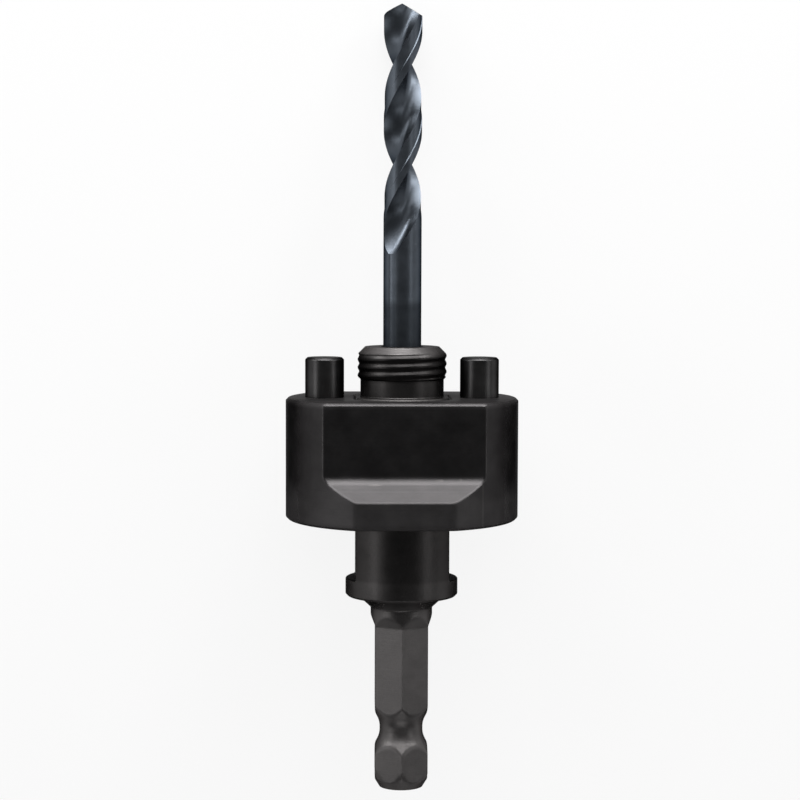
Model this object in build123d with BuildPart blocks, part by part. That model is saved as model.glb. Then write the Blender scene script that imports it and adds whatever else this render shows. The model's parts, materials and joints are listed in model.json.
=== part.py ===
from build123d import *
from math import atan2, cos, degrees, radians, sin, sqrt, tan
import os

os.makedirs("parts", exist_ok=True)

# A hole saw arbor that lies on a table, on its drive plate and the tip of its pilot drill.
# Sizes are in millimetres and degrees. Stations run along the tool axis from the shank's end.

# Hex shank with its locking groove
hex_flats = 9.4
collar_diameter = 11.0
collar_length = 5.3
flat_ramp_angle = 24.0
end_diameter = 7.8
end_bevel_angle = 32.0
groove_station = 10.6
groove_waist = 7.7
groove_floor = 2.4
groove_flank_angle = 28.0
collar_root = 0.5

# Flange and neck
shank_length = 34.6
flange_diameter = 20.0
flange_thickness = 3.2
flange_bevel = 0.4
neck_flats = 16.5

# Threaded spigot, as a plain cylinder with its relief and its bevel
thread_diameter = 15.8
thread_length = 5.8
thread_bevel = 1.3
relief_diameter = 14.8
relief_length = 3.0

# Drive plate and its two pins
plate_diameter = 41.3
plate_height = 21.6
plate_travel = 10.6
plate_bevel = 0.5
plate_bore_bevel = 0.4
seat_rise = 0.2
slide_clearance = 0.05
upper_flat_depth = 15.2
lower_flat_depth = 18.8
lower_flat_height = 4.8
ledge_angle = 45.0
pin_diameter = 6.9
pin_spacing = 27.5
pin_reach = 7.1
pin_bevel = 0.4
pin_tail_diameter = 5.5
pin_tail_length = 13.0

# Ball catch between the neck and the plate
ball_diameter = 3.5
ball_reach = 0.9
ball_station = 54.5
ball_clearance = 0.05
catch_wall = 1.2
catch_spring_wire = 0.4
catch_spring_diameter = 2.2
catch_spring_turns = 2

# Pilot drill and the screw that clamps it
drill_diameter = 6.75
drill_length = 101.3
drill_fit = 0.025
drill_tail_bevel = 0.4
bore_point_angle = 118.0
bore_bevel = 0.4
clamp_flat_depth = 0.5
clamp_flat_length = 11.0
screw_diameter = 5.0
screw_fit = 0.02
screw_above_flange = 5.0
screw_recess = 0.3
screw_bevel = 0.5
screw_socket_flats = 2.5
screw_socket_depth = 2.2

# Flutes of the pilot drill, seen across the drill from its tip, at the station of the narrow waist.
# They straighten as they run out, and there their turning lags by a length along the axis.
waist_station = 129.2
lead = 35.0
web = 1.3
face_reach = 0.35
lip_angle = 113.0
heel_angle = 52.0
margin_width = 0.65
land_relief = 0.15
runout_length = 12.0
runout_lag = 9.3
flute_end_station = 102.9
point_angle = 135.0
point_relief_angle = 25.0

drill_radius = drill_diameter / 2
land_radius = drill_radius - land_relief
bore_radius = drill_radius + drill_fit
hex_length = shank_length - collar_length
flange_top = shank_length + flange_thickness
plate_bottom = flange_top + plate_travel
plate_top = plate_bottom + plate_height
neck_top = plate_top + seat_rise
thread_start = neck_top + relief_length
spigot_top = thread_start + thread_length
drill_tip = flange_top + drill_length
ledge_bottom = plate_bottom + lower_flat_height
screw_station = flange_top + screw_above_flange
ball_radius = ball_diameter / 2
ball_depth = flange_diameter / 2 + ball_reach - ball_radius
catch_radius = ball_radius + ball_clearance
catch_depth = flange_diameter / 2 - bore_radius - catch_wall

# It tips nose down about the rear ledge until a land of the drill meets the table.
# The lowest edge of that land is the heel, a helix that turns past the underside near the tip.
def nose_drop(heel_turn):
    station = waist_station + (heel_turn - heel_angle) / 360 * lead
    return atan2(lower_flat_depth - land_radius * sin(radians(heel_turn)), station - ledge_bottom)


tilt = min(nose_drop(heel_turn) for heel_turn in range(90, 140))
tail_back = end_diameter / 2 * sin(tilt)
tip_ahead = drill_tip * cos(tilt)
tool = Plane(
    origin=(
        0,
        (tail_back - tip_ahead) / 2,
        lower_flat_depth * cos(tilt) + ledge_bottom * sin(tilt),
    ),
    x_dir=(1, 0, 0),
    z_dir=(0, cos(tilt), -sin(tilt)),
)
tool_axis = Axis(tool.origin, tool.z_dir)
# Planes through the axis, with the tool axis as their second direction: the first faces the
# front flat, the next the back, and the last looks along the row of pins
front = Plane(origin=tool.origin, x_dir=tool.x_dir, z_dir=-tool.y_dir)
back = Plane(origin=tool.origin, x_dir=-tool.x_dir, z_dir=tool.y_dir)
side = Plane(origin=tool.origin, x_dir=tool.y_dir, z_dir=tool.x_dir)


def across(station):
    return tool.offset(station)


# Arbor body, turned from one bar: hex shank, collar, flange, flattened neck and spigot
ramp_length = (collar_diameter - hex_flats) / 2 / tan(radians(flat_ramp_angle))
outer = collar_diameter
groove_reach = groove_floor / 2 + (outer - groove_waist / 2) / tan(radians(groove_flank_angle))
bevel_rise = (outer - end_diameter / 2) / tan(radians(end_bevel_angle))
bore_cone = bore_radius / tan(radians(bore_point_angle / 2))
with BuildPart() as arbor_body:
    with BuildSketch(across(0)):
        RegularPolygon(hex_flats / 2, 6, major_radius=False, rotation=30)
    extrude(amount=hex_length)
    extrude(arbor_body.faces().sort_by(tool_axis)[-1], amount=ramp_length, taper=-flat_ramp_angle)
    with BuildSketch(across(0)):
        Circle(collar_diameter / 2)
    extrude(amount=shank_length, mode=Mode.INTERSECT)
    with BuildSketch(front):
        with BuildLine():
            Polyline((end_diameter / 2, 0), (outer, 0), (outer, bevel_rise), (end_diameter / 2, 0))
        make_face()
        with BuildLine():
            Polyline(
                (outer, groove_station - groove_reach),
                (groove_waist / 2, groove_station - groove_floor / 2),
                (groove_waist / 2, groove_station + groove_floor / 2),
                (outer, groove_station + groove_reach),
                close=True,
            )
        make_face()
    revolve(axis=tool_axis, mode=Mode.SUBTRACT)
    with BuildSketch(front):
        with BuildLine():
            Polyline(
                (0, hex_length + ramp_length),
                (collar_diameter / 2, hex_length + ramp_length),
                (collar_diameter / 2, shank_length - collar_root),
                (collar_diameter / 2 + collar_root, shank_length),
                (flange_diameter / 2 - flange_bevel, shank_length),
                (flange_diameter / 2, shank_length + flange_bevel),
                (flange_diameter / 2, neck_top),
                (relief_diameter / 2, neck_top),
                (relief_diameter / 2, thread_start),
                (thread_diameter / 2, thread_start + (thread_diameter - relief_diameter) / 2),
                (thread_diameter / 2, spigot_top - thread_bevel),
                (thread_diameter / 2 - thread_bevel, spigot_top),
                (0, spigot_top),
                close=True,
            )
        make_face()
    revolve(axis=tool_axis)
    # Flats that face the pins, from the flange's shoulders up
    with BuildSketch(across(flange_top)):
        for way in (-1, 1):
            with Locations(((neck_flats / 2 + flange_diameter / 2) * way, 0)):
                Rectangle(flange_diameter, flange_diameter)
    extrude(amount=neck_top - flange_top, mode=Mode.SUBTRACT)
    # Pilot bore with the cone that its drill left
    with BuildSketch(front):
        with BuildLine():
            Polyline(
                (0, flange_top - bore_cone),
                (bore_radius, flange_top),
                (bore_radius, spigot_top - bore_bevel),
                (bore_radius + bore_bevel, spigot_top),
                (0, spigot_top),
                close=True,
            )
        make_face()
    revolve(axis=tool_axis, mode=Mode.SUBTRACT)
    # Tapped hole of the clamp screw, through one flat
    with BuildSketch(side.offset(neck_flats / 2)):
        with Locations((0, screw_station)):
            Circle(screw_diameter / 2 + screw_fit)
    extrude(amount=-neck_flats / 2, mode=Mode.SUBTRACT)
    # Blind hole of the ball catch, in the round at the back
    with BuildSketch(back.offset(flange_diameter / 2)):
        with Locations((0, ball_station)):
            Circle(catch_radius)
    extrude(amount=-catch_depth, mode=Mode.SUBTRACT)
arbor_body.part.label = "arbor_body"
export_step(arbor_body.part, "parts/arbor_body.step")

# Drive plate, which slides on the flattened neck
run_radius = flange_diameter / 2 + slide_clearance
run_flats = neck_flats / 2 + slide_clearance
ledge_rise = (lower_flat_depth - upper_flat_depth) / tan(radians(ledge_angle))
beyond = plate_diameter
with BuildPart() as drive_plate:
    with BuildSketch(across(plate_bottom)):
        Circle(plate_diameter / 2)
    extrude(amount=plate_height)
    with BuildSketch(side):
        with BuildLine():
            Polyline(
                (lower_flat_depth, plate_bottom - plate_bevel),
                (lower_flat_depth, ledge_bottom),
                (upper_flat_depth, ledge_bottom + ledge_rise),
                (upper_flat_depth, plate_top + plate_bevel),
                (beyond, plate_top + plate_bevel),
                (beyond, plate_bottom - plate_bevel),
                close=True,
            )
        make_face()
        mirror(about=Plane.YZ)
    extrude(amount=plate_diameter, both=True, mode=Mode.SUBTRACT)
    chamfer(drive_plate.faces().sort_by(tool_axis)[-1].outer_wire().edges(), plate_bevel)
    chamfer(drive_plate.faces().sort_by(tool_axis)[0].outer_wire().edges(), plate_bevel)
    with BuildSketch(across(plate_bottom)):
        Circle(run_radius)
        Rectangle(2 * run_flats, plate_diameter, mode=Mode.INTERSECT)
    extrude(amount=plate_height, mode=Mode.SUBTRACT)
    ends = drive_plate.faces().filter_by(Plane(tool.origin, z_dir=tool.z_dir)).sort_by(tool_axis)
    chamfer([ends[0].inner_wires().edges(), ends[-1].inner_wires().edges()], plate_bore_bevel)
    # Blind holes that the pins are pressed into
    with BuildSketch(across(plate_top)):
        with GridLocations(pin_spacing, 0, 2, 1):
            Circle(pin_tail_diameter / 2)
    extrude(amount=-pin_tail_length, mode=Mode.SUBTRACT)
    # Groove that the catch ball runs in, closed at both ends
    with BuildSketch(across(ball_station - catch_radius)):
        with Locations((0, ball_depth)):
            Circle(catch_radius)
    extrude(amount=plate_travel + 2 * catch_radius, mode=Mode.SUBTRACT)
drive_plate.part.label = "drive_plate"
export_step(drive_plate.part, "parts/drive_plate.step")

# Two solid pins that enter the saw's drive holes, each on a pressed tail
for side_name, way in (("left", -1), ("right", 1)):
    with BuildPart() as drive_pin:
        with BuildSketch(across(plate_top)):
            with Locations((way * pin_spacing / 2, 0)):
                Circle(pin_diameter / 2)
        extrude(amount=pin_reach)
        chamfer(drive_pin.faces().sort_by(tool_axis)[-1].edges(), pin_bevel)
        with BuildSketch(across(plate_top)):
            with Locations((way * pin_spacing / 2, 0)):
                Circle(pin_tail_diameter / 2)
        extrude(amount=-pin_tail_length)
    drive_pin.part.label = "drive_pin_" + side_name
    export_step(drive_pin.part, "parts/drive_pin_" + side_name + ".step")

# Catch ball and the spring behind it, coiled from square wire
with BuildPart() as detent_ball:
    with Locations(tool.from_local_coords((0, ball_depth, ball_station))):
        Sphere(ball_radius)
detent_ball.part.label = "detent_ball"
export_step(detent_ball.part, "parts/detent_ball.step")

wire_reach = catch_spring_wire / sqrt(2)
spring_floor = flange_diameter / 2 - catch_depth + wire_reach
spring_height = ball_depth - spring_floor - sqrt(
    (ball_radius + wire_reach) ** 2 - (catch_spring_diameter / 2) ** 2
)
spring_foot = back.from_local_coords((0, ball_station, spring_floor))
with BuildPart() as detent_spring:
    with BuildLine() as coil:
        Helix(
            pitch=spring_height / catch_spring_turns,
            height=spring_height,
            radius=catch_spring_diameter / 2,
            center=spring_foot,
            direction=back.z_dir,
        )
    wire_start = coil.line @ 0
    with BuildSketch(Plane(wire_start, x_dir=wire_start - spring_foot, z_dir=coil.line % 0)):
        Rectangle(catch_spring_wire, catch_spring_wire)
    sweep(path=coil.line, is_frenet=True)
detent_spring.part.label = "detent_spring"
export_step(detent_spring.part, "parts/detent_spring.step")

# Clamp screw with a hexagon socket, which bears on the drill's flat
screw_tip = drill_radius - clamp_flat_depth
screw_head = neck_flats / 2 - screw_recess
with BuildPart() as pilot_set_screw:
    with BuildSketch(side.offset(screw_tip)):
        with Locations((0, screw_station)):
            Circle(screw_diameter / 2)
    extrude(amount=screw_head - screw_tip)
    chamfer(pilot_set_screw.faces().filter_by(GeomType.PLANE).edges(), screw_bevel)
    with BuildSketch(side.offset(screw_head)):
        with Locations((0, screw_station)):
            RegularPolygon(screw_socket_flats / 2, 6, major_radius=False)
    extrude(amount=-screw_socket_depth, mode=Mode.SUBTRACT)
pilot_set_screw.part.label = "pilot_set_screw"
export_step(pilot_set_screw.part, "parts/pilot_set_screw.step")


# Pilot drill. One flute, seen across the drill: a straight cutting face beside the web, a round
# bottom that runs out at the heel, and the relieved land as far as the next margin.
def polar(radius, angle):
    return Vector(radius * cos(radians(angle)), radius * sin(radians(angle)))


# A plane across the drill that has turned with the flutes, or lags behind them by a length
def fluted(station, half_turn=0, lag=0.0):
    turn = (station + lag - waist_station) / lead * 360 + half_turn
    return Plane(
        origin=across(station).origin,
        x_dir=tool.x_dir * cos(radians(turn)) + tool.y_dir * sin(radians(turn)),
        z_dir=tool.z_dir,
    )


def flute_section(station, half_turn=0, lift=0.0, lag=0.0):
    clear = drill_diameter
    along_lip = polar(1, lip_angle)
    off_lip = polar(1, lip_angle + 90)
    heel = heel_angle + 180
    margin = lip_angle + 180 - degrees(margin_width / drill_radius)
    out = polar(lift, (lip_angle + heel) / 2)
    bend = along_lip * face_reach + off_lip * (web / 2) + out
    heel_point = polar(land_radius + lift, heel)
    with BuildSketch(fluted(station, half_turn, lag)) as section:
        with BuildLine():
            lip = Line(along_lip * clear + off_lip * (web / 2) + out, bend)
            TangentArc(lip @ 1, heel_point, tangent=lip % 1)
            ThreePointArc(
                heel_point,
                polar(land_radius + lift, (heel + margin) / 2),
                polar(land_radius + lift, margin),
            )
            Line(polar(land_radius + lift, margin), polar(clear + lift, margin))
            ThreePointArc(
                polar(clear + lift, margin),
                polar(clear + lift, (lip_angle + margin) / 2),
                lip @ 0,
            )
        make_face()
    return section.sketch


runout_steps = 5
with BuildPart() as pilot_drill:
    with BuildSketch(across(flange_top)):
        Circle(drill_radius)
    extrude(amount=drill_length)
    chamfer(pilot_drill.faces().sort_by(tool_axis)[0].edges(), drill_tail_bevel)
    with BuildSketch(side.offset(screw_tip)):
        with Locations((0, flange_top)):
            Rectangle(drill_diameter, 2 * clamp_flat_length)
    extrude(amount=drill_radius, mode=Mode.SUBTRACT)
    for half_turn in (0, 180):
        with BuildLine(mode=Mode.PRIVATE) as twist:
            Helix(
                pitch=lead,
                height=drill_tip - flute_end_station + drill_radius,
                radius=drill_radius,
                center=across(flute_end_station).origin,
                direction=tool.z_dir,
            )
        sweep(
            sections=flute_section(flute_end_station, half_turn),
            path=twist.line,
            is_frenet=True,
            mode=Mode.SUBTRACT,
        )
        loft(
            sections=[
                flute_section(
                    flute_end_station - runout_length * step / runout_steps,
                    half_turn,
                    drill_diameter * (step / runout_steps) ** 2,
                    runout_lag * (step / runout_steps) ** 2,
                )
                for step in range(runout_steps + 1)
            ],
            mode=Mode.SUBTRACT,
        )
    # Point: two ground flanks, which fall away along the lips and behind them
    for half_turn in (0, 180):
        tip = fluted(drill_tip, half_turn)
        fall = polar(1 / tan(radians(point_angle / 2)), lip_angle)
        fall -= polar(tan(radians(point_relief_angle)), lip_angle + 90)
        flank_normal = tip.z_dir + tip.x_dir * fall.X + tip.y_dir * fall.Y
        with BuildSketch(Plane(origin=tip.origin, z_dir=flank_normal)):
            Circle(2 * drill_diameter)
        extrude(amount=2 * drill_diameter, mode=Mode.SUBTRACT)
pilot_drill.part.label = "pilot_drill"
export_step(pilot_drill.part, "parts/pilot_drill.step")
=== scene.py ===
import json
from math import acos, asin, ceil, cos, degrees, pi, radians, sin, sqrt, tan

import bmesh
import bpy
from mathutils import Matrix, Vector


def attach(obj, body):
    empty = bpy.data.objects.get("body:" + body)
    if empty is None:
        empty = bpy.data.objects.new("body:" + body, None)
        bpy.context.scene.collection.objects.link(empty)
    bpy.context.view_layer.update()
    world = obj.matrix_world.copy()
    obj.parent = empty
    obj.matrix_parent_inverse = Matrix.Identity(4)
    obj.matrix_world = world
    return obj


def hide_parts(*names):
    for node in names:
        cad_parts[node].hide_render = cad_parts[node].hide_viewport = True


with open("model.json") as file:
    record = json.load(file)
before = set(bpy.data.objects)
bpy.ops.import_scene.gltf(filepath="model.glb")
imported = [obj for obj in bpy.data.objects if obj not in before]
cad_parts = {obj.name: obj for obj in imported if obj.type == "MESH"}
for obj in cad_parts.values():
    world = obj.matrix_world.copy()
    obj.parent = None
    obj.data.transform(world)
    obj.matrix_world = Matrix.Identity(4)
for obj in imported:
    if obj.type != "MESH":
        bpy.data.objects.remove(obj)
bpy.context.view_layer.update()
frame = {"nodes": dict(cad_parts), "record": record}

mm = 0.001
toolLength = 140
grooveStation = 10.6

# the tool frame: x along the pins, y to the back, z from the shank's end to the drill's tip
mounts = {mount["name"]: mount for mount in frame["record"]["mounts"]}
toolAxis = Vector(mounts["saw_thread"]["axis"]).normalized()
pinRow = Vector((1, 0, 0))
backWay = toolAxis.cross(pinRow).normalized()
toolStart = Vector(mounts["hex_shank"]["pos_m"]) - toolAxis * grooveStation * mm
toolFrame = Matrix((pinRow, backWay, toolAxis)).transposed().to_4x4()
toolFrame.translation = toolStart
lyingTilt = asin(-toolAxis.z)


def alongTool(x, y, station):
    return toolFrame @ Vector((x * mm, y * mm, station * mm))


# small helpers for the turned and milled shapes, all sizes in millimetres
def softMin(a, b, blend):
    near = max(blend - abs(a - b), 0) / blend
    return min(a, b) - near * near * blend / 4


def softMax(a, b, blend):
    return -softMin(-a, -b, blend)


# where a ray from the axis meets a flat: far away when it runs nearly along the flat
def flatRadius(depth, facing):
    return depth / facing if facing > 0.3 else 99


def spread(start, end, step):
    count = max(1, ceil(abs(end - start) / step))
    return [start + (end - start) * i / count for i in range(count + 1)]


# even angles round the tool, and finer ones on both sides of each corner
def crowdedAngles(step, corners, reach=1.2, fine=0.3):
    angles = set(round(a, 3) for a in spread(0, 360, step)[:-1])
    for corner in corners:
        angles |= set(round((corner + d) % 360, 3) for d in spread(-reach, reach, fine))
    ordered = sorted(angles)
    kept = [ordered[0]]
    for angle in ordered[1:]:
        if angle - kept[-1] > fine * 0.6:
            kept.append(angle)
    return [radians(a) for a in kept]


def joinRows(mesh, low, high):
    count = len(low)
    for i in range(count):
        j = (i + 1) % count
        mesh.faces.new((low[i], low[j], high[j], high[i]))


# a closed skin of rings round the tool axis; each ring is a station and a list of radii
# a loop joins its last ring to the first, and any other skin gets a flat cap at both ends
def ringSkin(name, rings, angles, loop=False):
    mesh = bmesh.new()
    rows = []
    for station, radii in rings:
        places = [alongTool(r * cos(a), r * sin(a), station) for a, r in zip(angles, radii)]
        rows.append([mesh.verts.new(place) for place in places])
    for low, high in zip(rows, rows[1:]):
        joinRows(mesh, low, high)
    if loop:
        joinRows(mesh, rows[-1], rows[0])
    else:
        first, last = rows[0], rows[-1]
        centre = mesh.verts.new(alongTool(0, 0, rings[0][0]))
        for one, other in zip(first, first[1:] + first[:1]):
            mesh.faces.new((centre, other, one))
        centre = mesh.verts.new(alongTool(0, 0, rings[-1][0]))
        for one, other in zip(last, last[1:] + last[:1]):
            mesh.faces.new((centre, one, other))
    bmesh.ops.recalc_face_normals(mesh, faces=mesh.faces)
    return meshPiece(name, mesh)


def meshPiece(name, mesh, sharpAngle=32):
    data = bpy.data.meshes.new(name)
    mesh.to_mesh(data)
    mesh.free()
    piece = bpy.data.objects.new(name, data)
    bpy.context.scene.collection.objects.link(piece)
    data.polygons.foreach_set("use_smooth", [True] * len(data.polygons))
    data.set_sharp_from_angle(angle=radians(sharpAngle))
    return piece


# a turned outline with its corners rounded: points are (radius, station, rounding)
def roundedOutline(points, step=0.08):
    outline = [points[0][:2]]
    for before, corner, after in zip(points, points[1:], points[2:]):
        here = Vector(corner[:2])
        inWay = Vector(before[:2]) - here
        outWay = Vector(after[:2]) - here
        turn = inWay.angle(outWay)
        cut = min(corner[2] / tan(turn / 2), inWay.length * 0.49, outWay.length * 0.49)
        start = here + inWay.normalized() * cut
        end = here + outWay.normalized() * cut
        bend = max(3, ceil(cut * 2 / step))
        for i in range(bend + 1):
            t = i / bend
            spot = start * (1 - t) ** 2 + here * 2 * t * (1 - t) + end * t ** 2
            outline.append((spot.x, spot.y))
    outline.append(points[-1][:2])
    return outline


arborBody = {
    "hexFlats": 9.4,
    "hexLength": 29.3,
    "collar": 11.0,
    "rampAngle": 24,
    "endWidth": 7.8,
    "endBevelAngle": 32,
    "grooveStation": grooveStation,
    "grooveWaist": 7.7,
    "grooveFloor": 2.4,
    "grooveFlankAngle": 28,
    "grooveBlend": 0.5,
    "flareRise": 2.1,
    "flareWidth": 2.3,
    "shankLength": 34.6,
    "flange": 20.0,
    "flangeThickness": 3.2,
    "flangeBevel": 0.4,
    "shoulderRound": 0.25,
    "shoulderSteps": 6,
    "neckFlats": 16.5,
    "neckRoot": 0.12,
    "neckRows": (45.0, 58.0),
    "neckTop": 70.2,
    "neckTopBevel": 0.3,
    "relief": 14.8,
    "reliefRoot": 0.15,
    "reliefLength": 3.0,
    "thread": 15.8,
    "threadLength": 5.8,
    "threadBevel": 1.3,
    "threadPitch": 25.4 / 18,
    "threadDepth": 0.28,
    "threadGap": 0.82,
    "rootFlat": 0.9,
    "rootBlend": 0.15,
    "fadeLength": 0.5,
    "fadeShare": 0.35,
    "bore": 6.8,
    "boreBevel": 0.4,
    "boreDepthShown": 14,
    "edge": 0.16,
    "screwStation": 42.8,
    "screwHole": 5.04,
    "screwHoleDepth": 4.6,
}


def makeArborBody(s):
    hexHalf = s["hexFlats"] / 2
    collar = s["collar"] / 2
    flange = s["flange"] / 2
    relief = s["relief"] / 2
    thread = s["thread"] / 2
    bore = s["bore"] / 2
    rampEnd = s["hexLength"] + (collar - hexHalf) / tan(radians(s["rampAngle"]))
    flangeTop = s["shankLength"] + s["flangeThickness"]
    reliefTop = s["neckTop"] + s["reliefLength"]
    spigotTop = reliefTop + s["threadLength"]
    neckCorner = degrees(acos(s["neckFlats"] / s["flange"]))
    corners = [30 + 60 * i for i in range(6)]
    corners += [neckCorner, 180 - neckCorner, 180 + neckCorner, 360 - neckCorner]
    angles = crowdedAngles(2, corners, fine=0.4)

    def hexRadius(angle, station):
        flats = hexHalf + max(0, station - s["hexLength"]) * tan(radians(s["rampAngle"]))
        off = (degrees(angle) + 30) % 60 - 30
        return flats / cos(radians(off))

    def shankRadius(angle, station):
        cone = s["endWidth"] / 2 + station * tan(radians(s["endBevelAngle"]))
        radius = min(collar, cone)
        if station < rampEnd + 0.5:
            radius = softMin(radius, hexRadius(angle, station), s["edge"])
        beside = abs(station - s["grooveStation"]) - s["grooveFloor"] / 2
        flank = beside * tan(radians(s["grooveFlankAngle"]))
        groove = s["grooveWaist"] / 2 + softMax(flank, 0, s["grooveBlend"])
        return softMin(radius, groove, s["edge"] * 1.5)

    # the shank, finely spaced where its groove, bevel and ramps cross the flats
    stations = spread(0, 1.6, 0.08) + spread(1.8, 5.4, 1.2) + spread(5.5, 15.4, 0.1)
    stations += spread(16.5, s["hexLength"] - 0.3, 2)
    stations += spread(s["hexLength"], rampEnd + 0.6, 0.09)
    rings = [(station, [shankRadius(a, station) for a in angles]) for station in stations]
    # the collar flares out into the flange
    outline = roundedOutline([
        (collar, rampEnd + 0.8, 0),
        (collar, s["shankLength"] - s["flareRise"], 0.6),
        (collar + s["flareWidth"], s["shankLength"], 0.4),
        (flange - s["flangeBevel"], s["shankLength"], 0.12),
        (flange, s["shankLength"] + s["flangeBevel"], 0.12),
        (flange, flangeTop - s["shoulderRound"], 0),
    ])
    rings += [(station, [radius] * len(angles)) for radius, station in outline]

    def neckRadius(angle, inset=0.0):
        flat = flatRadius(s["neckFlats"] / 2 - inset, abs(cos(angle)))
        return softMin(flange - inset, flat, s["edge"])

    def onFlat(angle):
        return neckRadius(angle) < flange - 0.05

    # the flange's upper edge is rounded where the neck's flats lay it bare
    for i in range(1, s["shoulderSteps"] + 1):
        turn = i / s["shoulderSteps"] * pi / 2
        lift = s["shoulderRound"] * sin(turn)
        inset = s["shoulderRound"] * (1 - cos(turn))
        radii = [flange - inset if onFlat(a) else flange for a in angles]
        rings.append((flangeTop - s["shoulderRound"] + lift, radii))
    rings.append((flangeTop, [neckRadius(a) + s["neckRoot"] * onFlat(a) for a in angles]))
    for station in (flangeTop + s["neckRoot"], *s["neckRows"], s["neckTop"] - s["neckTopBevel"]):
        rings.append((station, [neckRadius(a) for a in angles]))
    rings.append((s["neckTop"], [neckRadius(a, s["neckTopBevel"]) for a in angles]))
    rings.append((s["neckTop"], [relief + s["reliefRoot"]] * len(angles)))
    rings.append((s["neckTop"] + s["reliefRoot"], [relief] * len(angles)))

    # the thread is a V cut that winds up the spigot and grows shallow at its end
    def spigotRadius(angle, station):
        start = relief + max(0, station - reliefTop)
        bevel = thread - max(0, station - (spigotTop - s["threadBevel"]))
        turn = ((station - reliefTop) / s["threadPitch"] - angle / (2 * pi)) % 1
        vee = max(0, 1 - abs(turn - 0.5) * 2 / s["threadGap"])
        depth = s["threadDepth"] * softMin(vee, s["rootFlat"], s["rootBlend"])
        fade = min(1, max(0, (spigotTop - station) / s["fadeLength"]))
        depth *= s["fadeShare"] + (1 - s["fadeShare"]) * fade
        return min(thread, start, bevel, thread - depth)

    for station in spread(reliefTop - 0.6, spigotTop, 0.075):
        rings.append((station, [spigotRadius(a, station) for a in angles]))
    mouth = bore + s["boreBevel"]
    boreOutline = [(mouth + 0.1, spigotTop), (mouth, spigotTop), (bore, spigotTop - s["boreBevel"])]
    boreOutline.append((bore, spigotTop - s["boreDepthShown"]))
    rings += [(station, [radius] * len(angles)) for radius, station in boreOutline]
    piece = ringSkin("arborTurning", rings, angles)
    # the tapped hole of the clamp screw, sunk through one flat
    hole = bmesh.new()
    spot = Vector((s["neckFlats"] / 2, 0, s["screwStation"])) * mm
    place = toolFrame @ Matrix.Translation(spot) @ Matrix.Rotation(pi / 2, 4, "Y")
    radius = s["screwHole"] / 2 * mm
    bmesh.ops.create_cone(hole, cap_ends=True, segments=64, radius1=radius, radius2=radius,
                          depth=s["screwHoleDepth"] * 2 * mm, matrix=place)
    cutter = meshPiece("screwHoleCutter", hole)
    cut = piece.modifiers.new("screwHole", "BOOLEAN")
    cut.operation = "DIFFERENCE"
    cut.object = cutter
    cut.solver = "EXACT"
    applyModifiers(piece)
    bpy.data.objects.remove(cutter)
    return piece


def applyModifiers(piece):
    bpy.context.view_layer.update()
    graph = bpy.context.evaluated_depsgraph_get()
    solved = bpy.data.meshes.new_from_object(piece.evaluated_get(graph))
    piece.modifiers.clear()
    old = piece.data
    piece.data = solved
    bpy.data.meshes.remove(old)


drivePlate = {
    "width": 41.3,
    "bottom": 48.42,
    "height": 21.58,
    "bevel": 0.5,
    "bevelEase": 0.1,
    "boreBevel": 0.4,
    "upperDepth": 15.2,
    "lowerDepth": 18.8,
    "lowerHeight": 4.78,
    "ledgeAngle": 45,
    "ledgeBlend": 0.9,
    "lipBlend": 0.25,
    "boreRadius": 10.05,
    "boreFlats": 8.3,
    "edge": 0.3,
}


def makeDrivePlate(s):
    full = s["width"] / 2
    bottom = s["bottom"]
    top = bottom + s["height"]
    slope = tan(radians(s["ledgeAngle"]))
    ledgeLow = bottom + s["lowerHeight"]
    ledgeHigh = ledgeLow + (s["lowerDepth"] - s["upperDepth"]) / slope
    upperCorner = degrees(acos(s["upperDepth"] / full))
    lowerCorner = degrees(acos(s["lowerDepth"] / full))
    boreCorner = degrees(acos(s["boreFlats"] / s["boreRadius"]))
    corners = [boreCorner, 180 - boreCorner, 180 + boreCorner, 360 - boreCorner]
    for middle in (90, 270):
        for corner in (upperCorner, lowerCorner, *spread(lowerCorner, upperCorner, 2.4)):
            corners += [middle - corner, middle + corner]
    angles = crowdedAngles(2.5, corners)

    def flatDepth(station):
        ledge = s["lowerDepth"] - (station - ledgeLow) * slope
        ledge = softMax(s["upperDepth"], ledge, s["ledgeBlend"])
        return softMin(s["lowerDepth"], ledge, s["lipBlend"])

    def outerRadius(angle, station, inset):
        flat = flatRadius(flatDepth(station) - inset, abs(sin(angle)))
        return softMin(full - inset, flat, s["edge"])

    def boreRadius(angle, widen):
        flat = flatRadius(s["boreFlats"] + widen, abs(cos(angle)))
        return min(s["boreRadius"] + widen, flat)

    # the rows of a bevel, each as far from the plate's end and as far in from its side
    bevel = s["bevel"]
    ease = s["bevelEase"]
    bevelRows = [
        (0, bevel + ease * 1.2),
        (ease * 0.3, bevel + ease * 0.3),
        (ease, bevel - ease),
        (bevel - ease, ease),
        (bevel - ease * 0.3, ease * 0.3),
    ]
    # rows stand close together at the ledge of the wrench flat
    stations = [bottom + bevel + ease]
    stations += spread(bottom + bevel + 0.6, ledgeLow - 0.5, 2)
    stations += spread(ledgeLow - 0.4, ledgeHigh + 0.6, 0.11)
    stations += spread(ledgeHigh + 1, top - bevel - ease, 3)
    outer = [(bottom + rise, inset) for rise, inset in bevelRows]
    outer += [(station, 0) for station in stations]
    outer += [(top - fall, inset) for fall, inset in reversed(bevelRows)]
    rings = [(station, [outerRadius(a, station, inset) for a in angles]) for station, inset in outer]
    widen = s["boreBevel"]
    bore = [(top, widen), (top - widen, 0), (bottom + widen, 0), (bottom, widen)]
    rings += [(station, [boreRadius(a, wide) for a in angles]) for station, wide in bore]
    return ringSkin("plateTurning", rings, angles, loop=True)


drivePins = {
    "width": 6.9,
    "spacing": 27.5,
    "foot": 70.0,
    "reach": 7.1,
    "bevel": 0.4,
}


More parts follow.
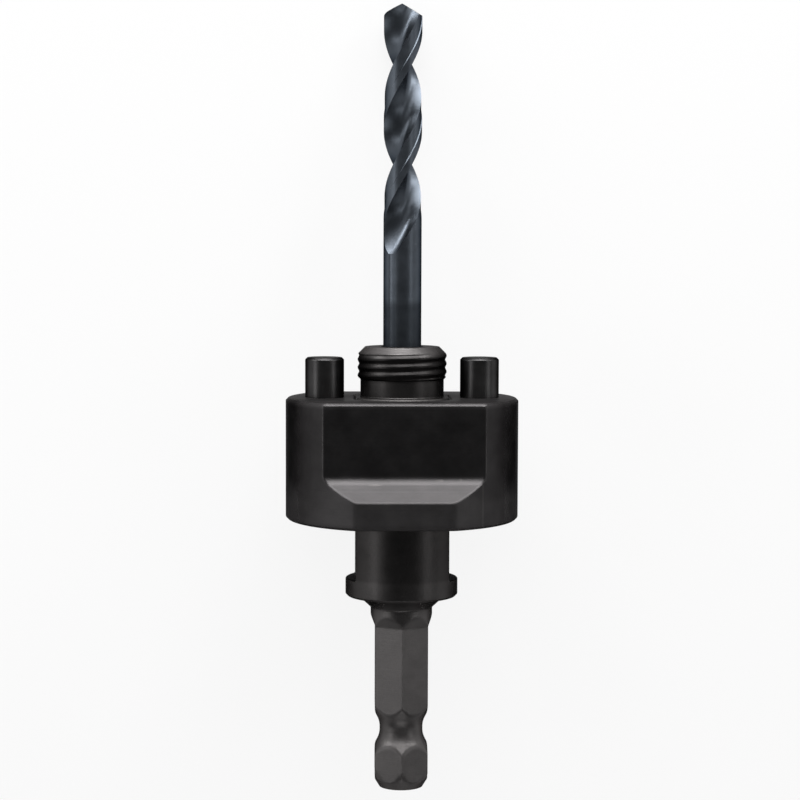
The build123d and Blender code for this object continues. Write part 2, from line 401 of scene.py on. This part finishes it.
def makeDrivePin(s, way, name):
    top = s["foot"] + s["reach"]
    radius = s["width"] / 2
    outline = roundedOutline([
        (radius, s["foot"], 0),
        (radius, top - s["bevel"], 0.2),
        (radius - s["bevel"], top, 0.15),
        (0.6, top, 0),
    ])
    angles = crowdedAngles(4, [])
    piece = ringSkin(name, [(station, [r] * len(angles)) for r, station in outline], angles)
    piece.data.transform(Matrix.Translation(pinRow * way * s["spacing"] / 2 * mm))
    return piece


pilotDrill = {
    "width": 6.75,
    "foot": 37.8,
    "length": 101.3,
    "waistStation": 129.2,
    "lead": 35.0,
    "web": 1.3,
    "faceReach": 0.35,
    "lipAngle": 113.0,
    "heelAngle": 52.0,
    "marginWidth": 1.3,
    "landRelief": 0.15,
    "runoutLength": 12.0,
    "runoutLag": 9.3,
    "fluteEnd": 102.9,
    "pointAngle": 135,
    "pointRelief": 25,
    "tailBevel": 0.4,
    "marginRise": 0.04,
    "edgeStep": 0.5,
    "edgeHalvings": 14,
    "pathPoints": 240,
    "flutePoints": 60,
    "landPoints": 30,
    "marginPoints": 8,
}


def pointAt(angle, radius):
    return Vector((cos(angle), sin(angle))) * radius


# outlines across the fluted drill, in the frame that turns with the flutes
def makeFluteRows(s):
    full = s["width"] / 2
    land = full - s["landRelief"]
    lip = radians(s["lipAngle"])
    heel = radians(s["heelAngle"] + 180)
    along = pointAt(lip, 1)
    off = Vector((-sin(lip), cos(lip)))
    bend = along * s["faceReach"] + off * s["web"] / 2
    toHeel = pointAt(heel, land) - bend
    arc = toHeel.length_squared / (2 * toHeel.dot(off))
    centre = bend + off * arc
    middleAngle = (lip + heel) / 2
    margin = s["marginWidth"] / full
    hair = 1e-6

    # how far out a ray meets the flute, once the cutter is lifted outwards
    def fluteRadius(angle, lift):
        ray = pointAt(angle, 1)
        shift = pointAt(middleAngle, 1) * lift
        best = full + 1
        # the straight cutting face
        side = ray.dot(off)
        if side > 1e-4:
            reach = (bend + shift).dot(off) / side
            if reach < best and (ray * reach - bend - shift).dot(along) > 0:
                best = reach
        # the round bottom, as far as the heel
        moved = centre + shift
        nearest = ray.dot(moved)
        inside = nearest * nearest - (moved.length_squared - arc * arc)
        if inside > 0:
            reach = nearest - sqrt(inside)
            spot = ray * reach - shift
            pastFace = spot.dot(along) <= bend.dot(along) + hair
            offFace = spot.dot(off) >= bend.dot(off) - hair
            if 0 < reach < best and pastFace and offFace:
                best = reach
        return best

    # walks from the middle of the flute to its edge, then halves the last step
    def findEdge(way, limit, lift):
        low = high = middleAngle
        while fluteRadius(high, lift) < limit:
            low = high
            high += way * radians(s["edgeStep"])
        for _ in range(s["edgeHalvings"]):
            half = (low + high) / 2
            if fluteRadius(half, lift) < limit:
                low = half
            else:
                high = half
        return low

    # points evenly apart through the flute, then along the land to the other flute
    def makeRow(lift):
        landRadius = min(full, land + lift)
        lipEdge = findEdge(-1, full, lift)
        heelEdge = findEdge(1, landRadius, lift)
        path = [pointAt(lipEdge, full)]
        for i in range(s["pathPoints"] + 1):
            angle = lipEdge + (heelEdge - lipEdge) * i / s["pathPoints"]
            path.append(pointAt(angle, min(fluteRadius(angle, lift), full)))
        path.append(pointAt(heelEdge, landRadius))
        lengths = [0.0]
        for one, other in zip(path, path[1:]):
            lengths.append(lengths[-1] + (other - one).length)
        row = []
        k = 0
        for i in range(s["flutePoints"]):
            want = lengths[-1] * i / (s["flutePoints"] - 1)
            while k < len(path) - 2 and lengths[k + 1] < want:
                k += 1
            gap = lengths[k + 1] - lengths[k]
            part = (want - lengths[k]) / gap if gap > 1e-9 else 0
            row.append(path[k].lerp(path[k + 1], part))
        marginEdge = lipEdge + pi - margin
        landReach = marginEdge - s["marginRise"] - heelEdge
        for i in range(1, s["landPoints"] + 1):
            row.append(pointAt(heelEdge + landReach * i / s["landPoints"], landRadius))
        for i in range(s["marginPoints"]):
            row.append(pointAt(marginEdge + margin * i / s["marginPoints"], full))
        return row + [-point for point in row]

    return makeRow, full - fluteRadius(middleAngle, 0)


def makePilotDrill(s):
    full = s["width"] / 2
    tip = s["foot"] + s["length"]
    makeRow, fluteDepth = makeFluteRows(s)
    mesh = bmesh.new()
    rows = []

    def addRow(station, row, turnedAs, grow=1.0):
        turn = Matrix.Rotation((turnedAs - s["waistStation"]) / s["lead"] * 2 * pi, 2)
        placed = [turn @ point * grow for point in row]
        rows.append([mesh.verts.new(alongTool(point.x, point.y, station)) for point in placed])

    # the plain shank, whose rows all stand as the run-out's first one does
    runoutPart = sqrt(fluteDepth / s["width"])
    runoutStart = s["fluteEnd"] - s["runoutLength"] * runoutPart
    shankTurn = runoutStart + s["runoutLag"] * runoutPart ** 2
    roundRow = makeRow(fluteDepth)
    addRow(s["foot"], roundRow, shankTurn, grow=1 - s["tailBevel"] / full)
    for station in spread(s["foot"] + s["tailBevel"], runoutStart, 2.5):
        addRow(station, roundRow, shankTurn)
    # the run-out straightens as the cutter lifts, then the flutes turn evenly to the point
    for station in spread(runoutStart + 0.05, s["fluteEnd"] - 0.1, 0.12):
        part = (s["fluteEnd"] - station) / s["runoutLength"]
        addRow(station, makeRow(s["width"] * part ** 2), station + s["runoutLag"] * part ** 2)
    fluteRow = makeRow(0.0)
    for station in spread(s["fluteEnd"], tip + 1, 0.3):
        addRow(station, fluteRow, station)
    for low, high in zip(rows, rows[1:]):
        joinRows(mesh, low, high)
    mesh.faces.new(list(reversed(rows[0])))
    mesh.faces.new(rows[-1])
    # two ground flanks make the point
    turn = (tip - s["waistStation"]) / s["lead"] * 360
    for half in (0, 180):
        lip = radians(s["lipAngle"] + half + turn)
        fall = pointAt(lip, 1) / tan(radians(s["pointAngle"] / 2))
        fall -= Vector((-sin(lip), cos(lip))) * tan(radians(s["pointRelief"]))
        normal = toolFrame.to_3x3() @ Vector((fall.x, fall.y, 1)).normalized()
        everything = list(mesh.verts) + list(mesh.edges) + list(mesh.faces)
        cut = bmesh.ops.bisect_plane(mesh, geom=everything, dist=1e-7, plane_co=alongTool(0, 0, tip),
                                     plane_no=normal, clear_outer=True)
        rim = [e for e in cut["geom_cut"] if isinstance(e, bmesh.types.BMEdge)]
        bmesh.ops.triangle_fill(mesh, use_beauty=True, use_dissolve=False, edges=rim)
    bmesh.ops.remove_doubles(mesh, verts=mesh.verts, dist=2e-6)
    bmesh.ops.recalc_face_normals(mesh, faces=mesh.faces)
    return meshPiece("twistDrill", mesh, sharpAngle=28)


# a node group with its own inputs and outputs, for the finishes to share
def makeGroup(name, inputs, outputs):
    group = bpy.data.node_groups.new(name, "ShaderNodeTree")
    for label, kind, value in inputs:
        socket = group.interface.new_socket(label, in_out="INPUT", socket_type=kind)
        socket.default_value = value
    for label, kind in outputs:
        group.interface.new_socket(label, in_out="OUTPUT", socket_type=kind)
    return group


def addNode(tree, kind, **values):
    node = tree.nodes.new(kind)
    for name, value in values.items():
        setattr(node, name, value)
    return node


# a point's place with the tilt undone, so that the tool axis is the second direction
def toolPlace(tree):
    where = addNode(tree, "ShaderNodeTexCoord")
    turned = addNode(tree, "ShaderNodeMapping", vector_type="POINT")
    turned.inputs["Rotation"].default_value = (lyingTilt, 0, 0)
    tree.links.new(where.outputs["Object"], turned.inputs["Vector"])
    return turned.outputs["Vector"]


# the ramp of painted light and shade carries each shade divided by this, and the tone multiplies it
# back
paintedLightScale = 4


# colour and roughness of steel: uneven in patches, worn at its corners, with painted light and shade
# in stretches along the tool
def makeSteelTone():
    tree = makeGroup("steelTone", [
        ("Color", "NodeSocketColor", (0.03, 0.03, 0.03, 1)),
        ("Worn", "NodeSocketColor", (0.1, 0.1, 0.1, 1)),
        ("Wear", "NodeSocketFloat", 0.5),
        ("Patch Size", "NodeSocketFloat", 90.0),
        ("Roughness", "NodeSocketFloat", 0.4),
        ("Roughness Spread", "NodeSocketFloat", 0.12),
        ("Painted Light And Shade", "NodeSocketColor", (0.25, 0.25, 0.25, 1)),
        ("Band Roughness", "NodeSocketFloat", 0.0),
    ], [("Color", "NodeSocketColor"), ("Roughness", "NodeSocketFloat")])
    given = addNode(tree, "NodeGroupInput")
    result = addNode(tree, "NodeGroupOutput")
    place = toolPlace(tree)
    cloud = addNode(tree, "ShaderNodeTexNoise")
    cloud.inputs["Detail"].default_value = 5
    cloud.inputs["Roughness"].default_value = 0.6
    tree.links.new(place, cloud.inputs["Vector"])
    tree.links.new(given.outputs["Patch Size"], cloud.inputs["Scale"])
    # worn corners, from how sharply the surface bends
    bend = addNode(tree, "ShaderNodeNewGeometry")
    rim = addNode(tree, "ShaderNodeMapRange", clamp=True)
    rim.inputs["From Min"].default_value = 0.52
    rim.inputs["From Max"].default_value = 0.6
    tree.links.new(bend.outputs["Pointiness"], rim.inputs["Value"])
    rub = addNode(tree, "ShaderNodeMath", operation="MULTIPLY")
    tree.links.new(rim.outputs["Result"], rub.inputs[0])
    tree.links.new(cloud.outputs["Fac"], rub.inputs[1])
    wear = addNode(tree, "ShaderNodeMath", operation="MULTIPLY")
    tree.links.new(rub.outputs["Value"], wear.inputs[0])
    tree.links.new(given.outputs["Wear"], wear.inputs[1])
    uneven = addNode(tree, "ShaderNodeMapRange", clamp=True)
    uneven.inputs["From Min"].default_value = 0.3
    uneven.inputs["From Max"].default_value = 0.7
    uneven.inputs["To Min"].default_value = 0.86
    uneven.inputs["To Max"].default_value = 1.14
    tree.links.new(cloud.outputs["Fac"], uneven.inputs["Value"])
    # painted light and shade: the colour made lighter or darker stretch by stretch along the tool
    paintedLightBanded = addNode(tree, "ShaderNodeMix", data_type="RGBA", blend_type="MULTIPLY")
    paintedLightBanded.inputs["Factor"].default_value = 1
    tree.links.new(given.outputs["Color"], paintedLightBanded.inputs[6])
    tree.links.new(given.outputs["Painted Light And Shade"], paintedLightBanded.inputs[7])
    paintedLightColor = addNode(tree, "ShaderNodeVectorMath", operation="SCALE")
    paintedLightColor.inputs["Scale"].default_value = paintedLightScale
    tree.links.new(paintedLightBanded.outputs[2], paintedLightColor.inputs[0])
    shade = addNode(tree, "ShaderNodeMix", data_type="RGBA", blend_type="MULTIPLY")
    shade.inputs["Factor"].default_value = 1
    tree.links.new(paintedLightColor.outputs["Vector"], shade.inputs[6])
    tree.links.new(uneven.outputs["Result"], shade.inputs[7])
    tint = addNode(tree, "ShaderNodeMix", data_type="RGBA", blend_type="MIX")
    tree.links.new(wear.outputs["Value"], tint.inputs["Factor"])
    tree.links.new(shade.outputs[2], tint.inputs[6])
    tree.links.new(given.outputs["Worn"], tint.inputs[7])
    tree.links.new(tint.outputs[2], result.inputs["Color"])
    swing = addNode(tree, "ShaderNodeMath", operation="MULTIPLY_ADD")
    centred = addNode(tree, "ShaderNodeMath", operation="SUBTRACT")
    centred.inputs[1].default_value = 0.5
    tree.links.new(cloud.outputs["Fac"], centred.inputs[0])
    tree.links.new(centred.outputs["Value"], swing.inputs[0])
    tree.links.new(given.outputs["Roughness Spread"], swing.inputs[1])
    tree.links.new(given.outputs["Roughness"], swing.inputs[2])
    rough = addNode(tree, "ShaderNodeMath", operation="ADD")
    tree.links.new(swing.outputs["Value"], rough.inputs[0])
    tree.links.new(given.outputs["Band Roughness"], rough.inputs[1])
    tree.links.new(rough.outputs["Value"], result.inputs["Roughness"])
    return tree


# fine rings left by the lathe, or lines left by grinding, as a bump
def makeToolMarks():
    tree = makeGroup("toolMarks", [
        ("Spacing", "NodeSocketFloat", 0.0002),
        ("Depth", "NodeSocketFloat", 0.4),
        ("Grit", "NodeSocketFloat", 0.3),
    ], [("Height", "NodeSocketFloat")])
    given = addNode(tree, "NodeGroupInput")
    result = addNode(tree, "NodeGroupOutput")
    place = toolPlace(tree)
    parts = addNode(tree, "ShaderNodeSeparateXYZ")
    tree.links.new(place, parts.inputs["Vector"])
    count = addNode(tree, "ShaderNodeMath", operation="DIVIDE")
    tree.links.new(parts.outputs["Y"], count.inputs[0])
    tree.links.new(given.outputs["Spacing"], count.inputs[1])
    rings = addNode(tree, "ShaderNodeTexNoise", noise_dimensions="1D")
    rings.inputs["Scale"].default_value = 1
    rings.inputs["Detail"].default_value = 3
    tree.links.new(count.outputs["Value"], rings.inputs["W"])
    grit = addNode(tree, "ShaderNodeTexNoise")
    grit.inputs["Scale"].default_value = 2600
    grit.inputs["Detail"].default_value = 4
    tree.links.new(place, grit.inputs["Vector"])
    ringPart = addNode(tree, "ShaderNodeMath", operation="MULTIPLY")
    tree.links.new(rings.outputs["Fac"], ringPart.inputs[0])
    tree.links.new(given.outputs["Depth"], ringPart.inputs[1])
    height = addNode(tree, "ShaderNodeMath", operation="MULTIPLY_ADD")
    tree.links.new(grit.outputs["Fac"], height.inputs[0])
    tree.links.new(given.outputs["Grit"], height.inputs[1])
    tree.links.new(ringPart.outputs["Value"], height.inputs[2])
    tree.links.new(height.outputs["Value"], result.inputs["Height"])
    return tree


# how far along the tool a point lies, as a share of its length
def makeAlongShare():
    group = makeGroup("alongShare", [], [("Share", "NodeSocketFloat")])
    result = addNode(group, "NodeGroupOutput")
    parts = addNode(group, "ShaderNodeSeparateXYZ")
    group.links.new(toolPlace(group), parts.inputs["Vector"])
    share = addNode(group, "ShaderNodeMapRange")
    start = toolStart.dot(toolAxis)
    share.inputs["From Min"].default_value = start
    share.inputs["From Max"].default_value = start + toolLength * mm
    group.links.new(parts.outputs["Y"], share.inputs["Value"])
    group.links.new(share.outputs["Result"], result.inputs["Share"])
    return group


steelTone = makeSteelTone()
toolMarks = makeToolMarks()
alongShare = makeAlongShare()


def makeSteel(name, s):
    finish = bpy.data.materials.new(name)
    finish.use_nodes = True
    tree = finish.node_tree
    tree.nodes.clear()
    surface = addNode(tree, "ShaderNodeBsdfPrincipled")
    surface.inputs["Metallic"].default_value = s["metallic"]
    surface.inputs["Specular Tint"].default_value = (s["rimTint"], s["rimTint"], s["rimTint"], 1)
    output = addNode(tree, "ShaderNodeOutputMaterial")
    tree.links.new(surface.outputs["BSDF"], output.inputs["Surface"])
    tone = addNode(tree, "ShaderNodeGroup", node_tree=steelTone)
    tone.inputs["Color"].default_value = (*s["color"], 1)
    tone.inputs["Worn"].default_value = (*s["worn"], 1)
    tone.inputs["Wear"].default_value = s["wear"]
    tone.inputs["Patch Size"].default_value = s["patchSize"]
    tone.inputs["Roughness"].default_value = s["roughness"]
    tone.inputs["Roughness Spread"].default_value = s["roughnessSpread"]
    # painted light and shade along the tool: station, shade and added roughness
    share = addNode(tree, "ShaderNodeGroup", node_tree=alongShare)
    paintedLightAndRoughness = addNode(tree, "ShaderNodeValToRGB")
    stops = paintedLightAndRoughness.color_ramp.elements
    while len(stops) > 1:
        stops.remove(stops[0])
    for i, (station, shade, added) in enumerate(s["paintedLightAndRoughness"]):
        stop = stops[0] if i == 0 else stops.new(station / toolLength)
        stop.position = station / toolLength
        level = shade / paintedLightScale
        stop.color = (level, level, level, added)
    tree.links.new(share.outputs["Share"], paintedLightAndRoughness.inputs["Fac"])
    tree.links.new(paintedLightAndRoughness.outputs["Color"], tone.inputs["Painted Light And Shade"])
    tree.links.new(paintedLightAndRoughness.outputs["Alpha"], tone.inputs["Band Roughness"])
    tree.links.new(tone.outputs["Color"], surface.inputs["Base Color"])
    tree.links.new(tone.outputs["Roughness"], surface.inputs["Roughness"])
    marks = addNode(tree, "ShaderNodeGroup", node_tree=toolMarks)
    marks.inputs["Spacing"].default_value = s["markSpacing"]
    marks.inputs["Depth"].default_value = s["markDepth"]
    marks.inputs["Grit"].default_value = s["grit"]
    relief = addNode(tree, "ShaderNodeBump")
    relief.inputs["Distance"].default_value = s["bump"]
    relief.inputs["Strength"].default_value = 1
    tree.links.new(marks.outputs["Height"], relief.inputs["Height"])
    tree.links.new(relief.outputs["Normal"], surface.inputs["Normal"])
    return finish


blackenedSteel = {
    "color": (0.04, 0.038, 0.0378), "worn": (0.12, 0.115, 0.11), "wear": 0.5, "patchSize": 260,
    "roughness": 0.4, "roughnessSpread": 0.16, "metallic": 1.0, "rimTint": 0.12,
    # painted light over the hex shank that fades to painted shade under the flange, the flange
    # painted lighter, painted shade in the thread and a painted highlight on the spigot's top bevel
    "paintedLightAndRoughness": [(31.5, 2.1, 0.04), (33.8, 1, 0), (34.6, 1.25, 0), (37.8, 1.25, 0), (38.2, 0.95, 0),
              (73.0, 0.95, 0), (73.4, 0.45, 0), (77.4, 0.45, 0), (77.9, 2, 0.05)],
    "markSpacing": 0.00025, "markDepth": 0.5, "grit": 0.5, "bump": 0.00002,
}
plateSteel = {
    "color": (0.034, 0.0325, 0.033), "worn": (0.09, 0.087, 0.084), "wear": 0.5, "patchSize": 240,
    "roughness": 0.38, "roughnessSpread": 0.14, "metallic": 1.0, "rimTint": 0.14,
    # painted light on the plate below its ledge, which is also rougher, and a painted highlight on
    # its top rim
    "paintedLightAndRoughness": [(52.5, 1.25, 0.15), (56.5, 1, 0), (69.3, 1, 0), (69.7, 2, 0.05)],
    "markSpacing": 0.0003, "markDepth": 0.5, "grit": 0.5, "bump": 0.00002,
}
pinSteel = {
    "color": (0.038, 0.037, 0.0375), "worn": (0.11, 0.108, 0.106), "wear": 0.4, "patchSize": 300,
    "roughness": 0.34, "roughnessSpread": 0.14, "metallic": 1.0, "rimTint": 0.05,
    "paintedLightAndRoughness": [(70, 1, 0)],
    "markSpacing": 0.0002, "markDepth": 0.4, "grit": 0.4, "bump": 0.00002,
}
drillSteel = {
    "color": (0.071, 0.081, 0.095), "worn": (0.2, 0.22, 0.25), "wear": 0.3, "patchSize": 300,
    "roughness": 0.38, "roughnessSpread": 0.14, "metallic": 1.0, "rimTint": 0.1,
    # painted shade on the drill's shank just above the spigot
    "paintedLightAndRoughness": [(86.2, 0.5, 0.06), (87.4, 1, 0)],
    "markSpacing": 0.0002, "markDepth": 0.4, "grit": 0.4, "bump": 0.000015,
}
screwSteel = {
    "color": (0.05, 0.05, 0.05), "worn": (0.12, 0.12, 0.12), "wear": 0.5, "patchSize": 300,
    "roughness": 0.4, "roughnessSpread": 0.2, "metallic": 1.0, "rimTint": 0.3,
    "paintedLightAndRoughness": [(42, 1, 0)],
    "markSpacing": 0.0002, "markDepth": 0.3, "grit": 0.4, "bump": 0.00001,
}
brightSteel = {
    "color": (0.55, 0.55, 0.55), "worn": (0.7, 0.7, 0.7), "wear": 0.3, "patchSize": 400,
    "roughness": 0.25, "roughnessSpread": 0.1, "metallic": 1.0, "rimTint": 1.0,
    "paintedLightAndRoughness": [(55, 1, 0)],
    "markSpacing": 0.0002, "markDepth": 0.2, "grit": 0.2, "bump": 0.000005,
}

finishes = {
    "blackened_steel": makeSteel("blackenedSteel", blackenedSteel),
    "plate_steel": makeSteel("plateSteel", plateSteel),
    "pin_steel": makeSteel("pinSteel", pinSteel),
    "drill_steel": makeSteel("drillSteel", drillSteel),
    "screw_steel": makeSteel("screwSteel", screwSteel),
    "bright_steel": makeSteel("brightSteel", brightSteel),
}
print("finishes made:", len(finishes))


def dress(piece, slotName, body, node):
    piece.data.materials.clear()
    piece.data.materials.append(finishes[slotName])
    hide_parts(node)
    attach(piece, body)


dress(makeArborBody(arborBody), "blackened_steel", "arbor", "arbor_body")
print("arbor body made")
dress(makeDrivePlate(drivePlate), "plate_steel", "drive_plate", "drive_plate")
print("drive plate made")
for way, side in ((-1, "left"), (1, "right")):
    pin = makeDrivePin(drivePins, way, side + "Pin")
    dress(pin, "pin_steel", "drive_plate", "drive_pin_" + side)
print("drive pins made")
dress(makePilotDrill(pilotDrill), "drill_steel", "arbor", "pilot_drill")
print("pilot drill made")

# the small pieces keep their own shapes and take a finish
innerPieces = {
    "pilot_set_screw": "screw_steel",
    "detent_ball": "bright_steel",
    "detent_spring": "bright_steel",
}
for node, slotName in innerPieces.items():
    for place in frame["nodes"][node].material_slots:
        place.material = finishes[slotName]
print("inner pieces finished")

# a pale floor that reads as white and keeps a soft shadow
floor = {"size": 4.0, "color": (0.8, 0.8, 0.8), "whiteness": 0.85}
floorMesh = bmesh.new()
bmesh.ops.create_grid(floorMesh, x_segments=1, y_segments=1, size=floor["size"] / 2)
floorPiece = meshPiece("paleFloor", floorMesh)
floorPaint = bpy.data.materials.new("paleFloorPaint")
floorPaint.use_nodes = True
floorTree = floorPaint.node_tree
floorTree.nodes.clear()
floorMatte = addNode(floorTree, "ShaderNodeBsdfDiffuse")
floorMatte.inputs["Color"].default_value = (*floor["color"], 1)
floorGlow = addNode(floorTree, "ShaderNodeEmission")
floorGlow.inputs["Color"].default_value = (1, 1, 1, 1)
floorMix = addNode(floorTree, "ShaderNodeMixShader")
floorRays = addNode(floorTree, "ShaderNodeLightPath")
floorSeenOrMirrored = addNode(floorTree, "ShaderNodeMath", operation="ADD")
floorAnySight = addNode(floorTree, "ShaderNodeMath", operation="ADD", use_clamp=True)
floorSeen = addNode(floorTree, "ShaderNodeMath", operation="MULTIPLY")
floorSeen.inputs[1].default_value = floor["whiteness"]
floorTree.links.new(floorRays.outputs["Is Camera Ray"], floorSeenOrMirrored.inputs[0])
floorTree.links.new(floorRays.outputs["Is Glossy Ray"], floorSeenOrMirrored.inputs[1])
floorTree.links.new(floorSeenOrMirrored.outputs["Value"], floorAnySight.inputs[0])
floorTree.links.new(floorRays.outputs["Is Transmission Ray"], floorAnySight.inputs[1])
floorTree.links.new(floorAnySight.outputs["Value"], floorSeen.inputs[0])
floorTree.links.new(floorSeen.outputs["Value"], floorMix.inputs["Fac"])
floorTree.links.new(floorMatte.outputs["BSDF"], floorMix.inputs[1])
floorTree.links.new(floorGlow.outputs["Emission"], floorMix.inputs[2])
floorOutput = addNode(floorTree, "ShaderNodeOutputMaterial")
floorTree.links.new(floorMix.outputs["Shader"], floorOutput.inputs["Surface"])
floorPiece.data.materials.append(floorPaint)

# the room: pale walls low down, and a dim ceiling over the lamps
room = {"wall": 1.0, "ceiling": 0.11, "wallTop": 0.18, "ceilingFrom": 0.36}
world = bpy.data.worlds.new("room")
bpy.context.scene.world = world
world.use_nodes = True
worldTree = world.node_tree
worldTree.nodes.clear()
roomWay = addNode(worldTree, "ShaderNodeTexCoord")
roomHeight = addNode(worldTree, "ShaderNodeSeparateXYZ")
roomLevel = addNode(worldTree, "ShaderNodeMapRange", interpolation_type="SMOOTHSTEP")
roomLevel.inputs["From Min"].default_value = room["wallTop"]
roomLevel.inputs["From Max"].default_value = room["ceilingFrom"]
roomLevel.inputs["To Min"].default_value = room["wall"]
roomLevel.inputs["To Max"].default_value = room["ceiling"]
roomSky = addNode(worldTree, "ShaderNodeBackground")
roomSky.inputs["Color"].default_value = (1, 1, 1, 1)
roomOutput = addNode(worldTree, "ShaderNodeOutputWorld")
worldTree.links.new(roomWay.outputs["Generated"], roomHeight.inputs["Vector"])
worldTree.links.new(roomHeight.outputs["Z"], roomLevel.inputs["Value"])
worldTree.links.new(roomLevel.outputs["Result"], roomSky.inputs["Strength"])
worldTree.links.new(roomSky.outputs["Background"], roomOutput.inputs["Surface"])

# the camera looks at the front flat from a little above it, as the photograph does
cameraSetup = {
    "lens": 100.0,
    "sensor": 36.0,
    "distance": 394.8,
    "aboveSquare": 4.23,
    "aimStation": 69.48,
    "aimAside": -0.36,
    "turnAside": 1.9,
    "roll": 0.18,
    "nearest": 0.01,
}
lookUp = radians(cameraSetup["aboveSquare"])
frontWay = -backWay
turnAside = radians(cameraSetup["turnAside"])
squareWay = frontWay * cos(turnAside) - pinRow * sin(turnAside)
viewWay = squareWay * cos(lookUp) + toolAxis * sin(lookUp)
upWay = toolAxis * cos(lookUp) - squareWay * sin(lookUp)
sideWay = upWay.cross(viewWay)
aim = alongTool(0, 0, cameraSetup["aimStation"]) + sideWay * cameraSetup["aimAside"] * mm
cameraFrame = Matrix((sideWay, upWay, viewWay)).transposed().to_4x4()
cameraFrame = cameraFrame @ Matrix.Rotation(radians(cameraSetup["roll"]), 4, "Z")
cameraFrame.translation = aim + viewWay * cameraSetup["distance"] * mm
cameraData = bpy.data.cameras.new("camera")
cameraData.lens = cameraSetup["lens"]
cameraData.sensor_width = cameraSetup["sensor"]
cameraData.clip_start = cameraSetup["nearest"]
camera = bpy.data.objects.new("camera", cameraData)
camera.matrix_world = cameraFrame
bpy.context.scene.collection.objects.link(camera)
bpy.context.scene.camera = camera

# soft boxes: two at each side, and one each past the tip, over the front and past the shank's end
# each turns round the tool from its front and lifts towards its tip, in degrees
softBoxes = {
    "leftBox": {"turn": -58, "lift": -4, "away": 0.5, "wide": 0.13, "tall": 0.3, "glow": 3.8},
    "rightBox": {"turn": 52, "lift": -4, "away": 0.5, "wide": 0.1, "tall": 0.3, "glow": 3},
    "leftHighBox": {"turn": -78, "lift": 41, "away": 0.5, "wide": 0.16, "tall": 0.18, "glow": 22},
    "rightHighBox": {"turn": 64, "lift": 43, "away": 0.5, "wide": 0.12, "tall": 0.16, "glow": 17},
    "tipBox": {"turn": 0, "lift": 69, "away": 0.6, "wide": 0.6, "tall": 0.26, "glow": 14},
    "frontBox": {"turn": 0, "lift": 48, "away": 0.5, "wide": 0.3, "tall": 0.12, "glow": 7},
    "tailBox": {"turn": 0, "lift": -55, "away": 0.7, "wide": 0.4, "tall": 0.3, "glow": 2},
}
boxCentre = alongTool(0, 0, toolLength / 2)
for name, s in softBoxes.items():
    lamp = bpy.data.lights.new(name, "AREA")
    lamp.shape = "RECTANGLE"
    lamp.size = s["wide"]
    lamp.size_y = s["tall"]
    lamp.energy = s["glow"] * pi * s["wide"] * s["tall"]
    turn = radians(s["turn"])
    lift = radians(s["lift"])
    way = (frontWay * cos(turn) + pinRow * sin(turn)) * cos(lift) + toolAxis * sin(lift)
    lampUp = (toolAxis - way * toolAxis.dot(way)).normalized()
    lampFrame = Matrix((lampUp.cross(way), lampUp, way)).transposed().to_4x4()
    lampFrame.translation = boxCentre + way * s["away"]
    box = bpy.data.objects.new(name, lamp)
    box.matrix_world = lampFrame
    bpy.context.scene.collection.objects.link(box)
print("stage and lights set")

bpy.context.scene.view_settings.view_transform = "Standard"
